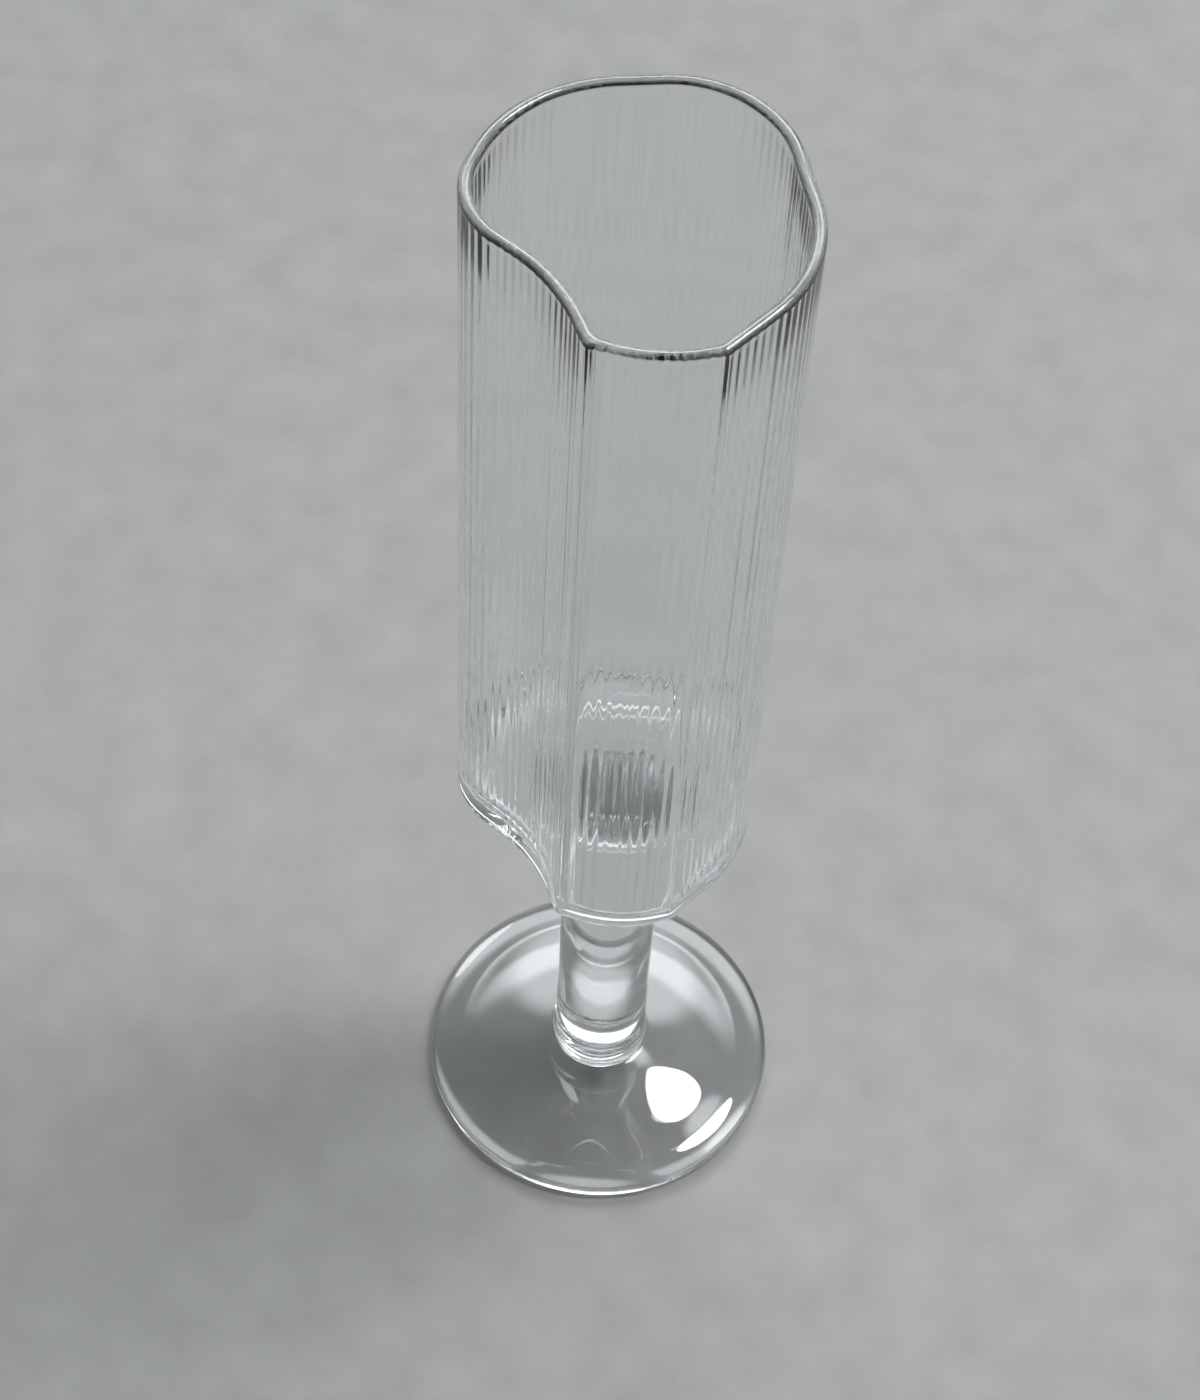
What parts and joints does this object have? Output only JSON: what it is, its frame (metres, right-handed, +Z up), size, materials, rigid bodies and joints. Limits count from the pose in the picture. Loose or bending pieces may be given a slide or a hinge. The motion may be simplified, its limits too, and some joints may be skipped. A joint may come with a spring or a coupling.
{
  "type": "champagne flute",
  "caption": "Clear glass champagne flute: tall lobed bowl with fine reeds inside, plain rod stem and low flared foot.",
  "frame": {"origin": "centre of the foot, on the table it stands on", "axes": "+Z up along the stem towards the lip, -Y towards the narrow front panel of the bowl, +X to the right of that panel"},
  "size_m": [0.065, 0.065, 0.2361],
  "materials": {
    "plain_glass": "clear colourless soda-lime or borosilicate glass, fire polished",
    "reeded_glass": "clear colourless glass, smooth outside, fine vertical reeds inside, fire-polished lip"
  },
  "bodies": {
    "root": {"foot": "plain_glass", "foot_seal": "plain_glass", "stem": "plain_glass", "bowl_seal": "plain_glass", "bowl_floor": "plain_glass", "bowl_wall": "reeded_glass"}
  },
  "joints": []
}
